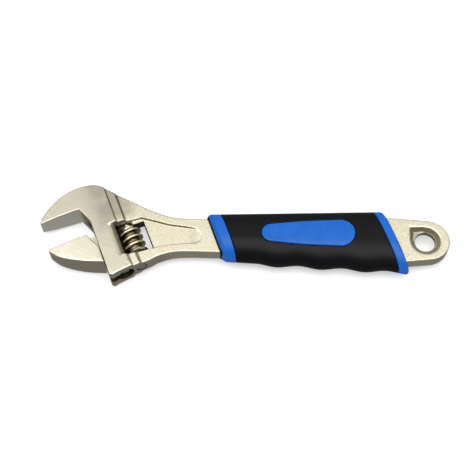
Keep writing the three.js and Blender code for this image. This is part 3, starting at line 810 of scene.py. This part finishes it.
def steel_material(name, on_jaw=False):
    """Satin nickel: ground cheeks on the head, a blasted skin on the shank and tail."""
    m = Shader(name, 0.4, 1.0)
    depth = cheek_depth(m)
    ground = m.product(m.ramp(m.u, 65.7, 66.0), m.ramp(depth, 0.35, 0.12))
    grain = m.noise(1.5, 5.0, 0.68)
    lines = m.noise(2.2, 4.0, 0.6, (0.05, 1.0, 1.0), HEAD_ANGLE)
    colour = clean_steel(m, ground, grain, lines, JAW_CHEEK if on_jaw else CHEEK)
    for mask, tint in steel_marks(m, depth):
        colour = m.mix(mask, colour, tint)
    if on_jaw:
        # Painted highlight on the key's end, which lies in shade inside the bore; painted shade on
        # the rest of the key.
        key, end = inside_bore(m), m.ramp(m.w, -5.8, -5.3)
        colour = m.mix(m.product(key, end), colour, KEY_END)
        hollow_shade = m.product(key, m.math("SUBTRACT", 1.0, end))
    else:
        hollow_shade = inside_holes(m)
    # Painted shade in the hollows.
    colour = m.mix(hollow_shade, colour, HOLLOW_PAINTED_SHADE)
    rough_skin = m.ramp(m.noise(4.0, 3.0, 0.6), 0.2, 0.8, 0.42, 0.56)
    rough_cheek = m.ramp(lines, 0.2, 0.8, 0.27, 0.37)
    rough = m.add("ShaderNodeMix", Factor=ground, A=rough_skin, B=rough_cheek).outputs[0]
    pits = m.bump(grain, 0.10, 0.55)
    pits = m.bump(m.math("MULTIPLY", lines, ground), 0.02, 0.3, pits)
    return m.finish(Base_Color=colour, Roughness=rough, Normal=pits)


def worm_material():
    """Bright turned steel with fine tool marks round the axis, painted highlights on the crests
    and end lands, and painted shade in the roots.
    """
    m = Shader("bright_worm", 0.25, 1.0)
    marks = m.noise(3.0, 3.0, 0.6, (0.2, 3.0, 0.2), HEAD_ANGLE)
    root_noise = m.noise(0.5, 3.0, 0.6)
    # Painted highlight on the crests and end lands; elsewhere the darker root colours are painted
    # shade.
    crest = m.ramp(m.radius(m.u, WORM_U, m.z), 6.6, 7.1)
    ends = m.math("MAXIMUM", m.ramp(m.w, -28.4, -29.0), m.ramp(m.w, -14.0, -13.2))
    bright = m.math("MAXIMUM", crest, m.math("MULTIPLY", ends, 0.85))
    colour = m.mix(bright, m.mix(m.ramp(root_noise, 0.35, 0.7), *WORM_ROOT_PAINTED_SHADE), WORM_PAINTED_HIGHLIGHT)
    rough = m.ramp(marks, 0.25, 0.75, 0.2, 0.34)
    return m.finish(Base_Color=colour, Roughness=rough, Normal=m.bump(marks, 0.005, 0.15))


def plain_steel(name, shades):
    m = Shader(name, 0.35, 1.0)
    marks = m.noise(2.5, 4.0, 0.6)
    colour = m.mix(m.ramp(marks, 0.3, 0.7), *shades)
    rough = m.ramp(marks, 0.3, 0.7, 0.3, 0.45)
    return m.finish(Base_Color=colour, Roughness=rough, Normal=m.bump(marks, 0.02, 0.4))


def blue_material():
    """Satin moulded plastic with a faint orange-peel skin."""
    m = Shader("blue_plastic", 0.38)
    m.surface.inputs["Specular IOR Level"].default_value = 0.28
    peel = m.noise(2.2, 3.0, 0.5)
    colour = m.mix(m.ramp(m.noise(0.15, 2.0, 0.5), 0.3, 0.7), *BLUE)
    rough = m.ramp(peel, 0.25, 0.75, 0.34, 0.46)
    return m.finish(Base_Color=colour, Roughness=rough, Normal=m.bump(peel, 0.02, 0.35))


def black_material():
    """Soft matt elastomer: fine spark-eroded texture and a little dust-grey variation."""
    m = Shader("black_rubber", 0.6)
    m.surface.inputs["Specular IOR Level"].default_value = 0.16
    texture = m.noise(3.5, 4.0, 0.6)
    colour = m.mix(m.ramp(m.noise(0.1, 3.0, 0.6), 0.3, 0.7), *BLACK)
    rough = m.ramp(texture, 0.25, 0.75, 0.36, 0.48)
    return m.finish(Base_Color=colour, Roughness=rough, Normal=m.bump(texture, 0.04, 0.4))


def paper_material():
    """Pale paper that glows a little, so the ground stays nearly white."""
    m = Shader("floor_paper", 0.95)
    m.surface.inputs["Emission Color"].default_value = (1, 1, 1, 1)
    m.surface.inputs["Emission Strength"].default_value = 0.5
    return m.finish(Base_Color=m.mix(m.noise(0.8, 2.0, 0.5), *PAPER))


# ---- stage ---------------------------------------------------------------------------------

def add_camera():
    """A view from the finger edge, high up, through a moderate telephoto."""
    elevation, azimuth = math.radians(CAMERA_ELEVATION), math.radians(CAMERA_AZIMUTH)
    target = (Vector(SHIFT) + Vector((0, 1.29, 0))) / 1000
    back = Vector((math.sin(azimuth) * math.cos(elevation),
                   -math.cos(azimuth) * math.cos(elevation), math.sin(elevation)))
    camera = bpy.data.cameras.new("camera")
    camera.sensor_width = SENSOR_WIDTH
    camera.lens = LENS
    camera.clip_start = 0.01
    rig = bpy.data.objects.new("camera", camera)
    rig.location = target + back * CAMERA_DISTANCE
    rig.rotation_euler = (-back).to_track_quat("-Z", "Y").to_euler()
    bpy.context.scene.collection.objects.link(rig)
    bpy.context.scene.camera = rig


def softbox(name, location, size, radiance):
    """A rectangular lamp of a given brightness, aimed at the middle of the floor."""
    lamp = bpy.data.lights.new(name, "AREA")
    lamp.shape = "RECTANGLE"
    lamp.size, lamp.size_y = size
    lamp.energy = radiance * math.pi * size[0] * size[1]
    rig = bpy.data.objects.new(name, lamp)
    rig.location = location
    rig.rotation_euler = (-Vector(location)).to_track_quat("-Z", "Y").to_euler()
    bpy.context.scene.collection.objects.link(rig)


def add_lights():
    bpy.context.scene.view_settings.view_transform = "Standard"
    world = bpy.data.worlds.new("studio")
    world.use_nodes = True
    sky = world.node_tree.nodes["Background"]
    sky.inputs["Color"].default_value = (1, 1, 1, 1)
    sky.inputs["Strength"].default_value = 0.27
    bpy.context.scene.world = world
    softbox("overhead_softbox", (0, -0.1, 1.1), (1.9, 0.75), 3.6)
    softbox("back_softbox", (0, 0.8, 0.85), (1.8, 0.8), 0.5)


def add_ground(name, points, faces, paper):
    """A piece of the stage, kept out of the reflections."""
    mesh = bpy.data.meshes.new(name)
    mesh.from_pydata(points, [], faces)
    mesh.materials.append(paper)
    ground = place_mesh(name, mesh)
    ground.visible_glossy = False
    return ground


def add_stage():
    """A pale floor, and a far pale wall all round that only the camera sees."""
    paper, z, reach = paper_material(), CAD_BOX[0].z, FLOOR_REACH
    square = [(-reach, -reach, z), (reach, -reach, z), (reach, reach, z), (-reach, reach, z)]
    add_ground("floor", square, [(0, 1, 2, 3)], paper)
    n, radius = WALL_SIDES, WALL_RADIUS
    turns = np.linspace(0, 2 * math.pi, n, endpoint=False)
    ring = [(radius * math.cos(t), radius * math.sin(t)) for t in turns]
    points = [(x, y, level) for level in (z, z + radius) for x, y in ring]
    faces = [(i, (i + 1) % n, (i + 1) % n + n, i + n) for i in range(n)]
    wall = add_ground("backdrop", points, faces, paper)
    wall.visible_diffuse = wall.visible_shadow = False


# ---- assembly ------------------------------------------------------------------------------

def add_piece(piece, node, body, material):
    """Puts a finer piece in place of a CAD node and ties it to the node's body."""
    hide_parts(node)
    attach(piece, body)
    piece.data.materials.append(material)


add_camera()
add_lights()
add_stage()
black = black_material()
hard, soft = build_grip()
add_piece(build_body(), "body", "handle", steel_material("nickel_forging"))
add_piece(build_jaw(), "movable_jaw", "jaw", steel_material("nickel_jaw", on_jaw=True))
add_piece(build_worm(), "worm", "worm", worm_material())
add_piece(build_pin(), "worm_pin", "handle", plain_steel("turned_pin", PIN_STEEL))
add_piece(build_spring(), "worm_spring", "handle",
          plain_steel("spring_wire", SPRING_PAINTED_LIGHT))
add_piece(hard, "grip_core", "handle", blue_material())
add_piece(soft, "grip_overmould", "handle", black)
gap_shade_ring = build_gap_shade_ring()
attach(gap_shade_ring, "handle")
gap_shade_ring.data.materials.append(black)
